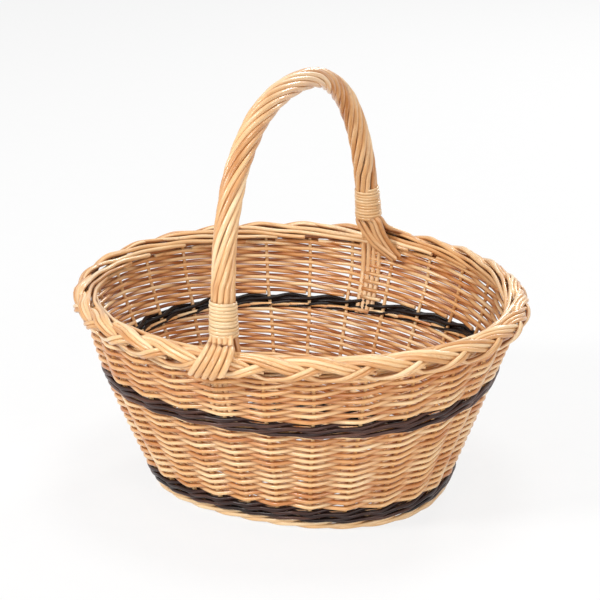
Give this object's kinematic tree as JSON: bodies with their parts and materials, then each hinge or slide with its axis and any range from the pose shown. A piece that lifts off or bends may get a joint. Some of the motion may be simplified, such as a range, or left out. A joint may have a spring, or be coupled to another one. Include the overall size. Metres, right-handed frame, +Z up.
{
  "type": "wicker shopping basket",
  "caption": "Oval woven willow shopping basket with flared wall, dark wale bands, plaited border, flat foot and a fixed bow handle bound and roped across the short way",
  "frame": {"origin": "under the middle of the foot, on the surface that the basket stands on", "axes": "+Z up, X the long way of the mouth, Y the short way that the handle spans, -Y the front foot of the handle"},
  "size_m": [0.4383, 0.4135, 0.4013],
  "materials": {
    "golden_willow": "stained and varnished willow rods, satin",
    "pale_willow": "pale varnished willow rods, satin",
    "dark_willow": "near-black stained willow rods, glossy",
    "honey_willow": "honey-coloured varnished willow rods, satin",
    "split_cane": "smooth split cane, satin"
  },
  "bodies": {
    "root": {"foot_ring": "pale_willow", "base_sticks": "pale_willow", "base_mat": "golden_willow", "stake_01": "golden_willow", "stake_02": "golden_willow", "stake_03": "golden_willow", "stake_04": "golden_willow", "stake_05": "golden_willow", "stake_06": "golden_willow", "stake_07": "golden_willow", "stake_08": "golden_willow", "stake_09": "golden_willow", "stake_10": "golden_willow", "stake_11": "golden_willow", "stake_12": "golden_willow", "stake_13": "golden_willow", "stake_14": "golden_willow", "stake_15": "golden_willow", "stake_16": "golden_willow", "stake_17": "golden_willow", "stake_18": "golden_willow", "stake_19": "golden_willow", "stake_20": "golden_willow", "stake_21": "golden_willow", "stake_22": "golden_willow", "stake_23": "golden_willow", "stake_24": "golden_willow", "stake_25": "golden_willow", "stake_26": "golden_willow", "stake_27": "golden_willow", "lower_weave_01": "golden_willow", "lower_weave_02": "golden_willow", "lower_weave_03": "golden_willow", "lower_weave_04": "golden_willow", "lower_weave_05": "golden_willow", "lower_weave_06": "golden_willow", "lower_weave_07": "golden_willow", "lower_weave_08": "golden_willow", "upper_weave_01": "golden_willow", "upper_weave_02": "golden_willow", "upper_weave_03": "golden_willow", "lower_wale_rod_01": "dark_willow", "upper_wale_rod_01": "dark_willow", "lower_wale_rod_02": "dark_willow", "upper_wale_rod_02": "dark_willow", "lower_wale_rod_03": "dark_willow", "upper_wale_rod_03": "dark_willow", "border_core": "pale_willow", "border_strand_01": "pale_willow", "border_strand_02": "pale_willow", "border_strand_03": "pale_willow", "handle_bow": "honey_willow", "handle_rope_01": "honey_willow", "handle_rope_02": "honey_willow", "handle_rope_03": "honey_willow", "handle_rope_04": "honey_willow", "front_binding": "split_cane", "back_binding": "split_cane"}
  },
  "joints": []
}
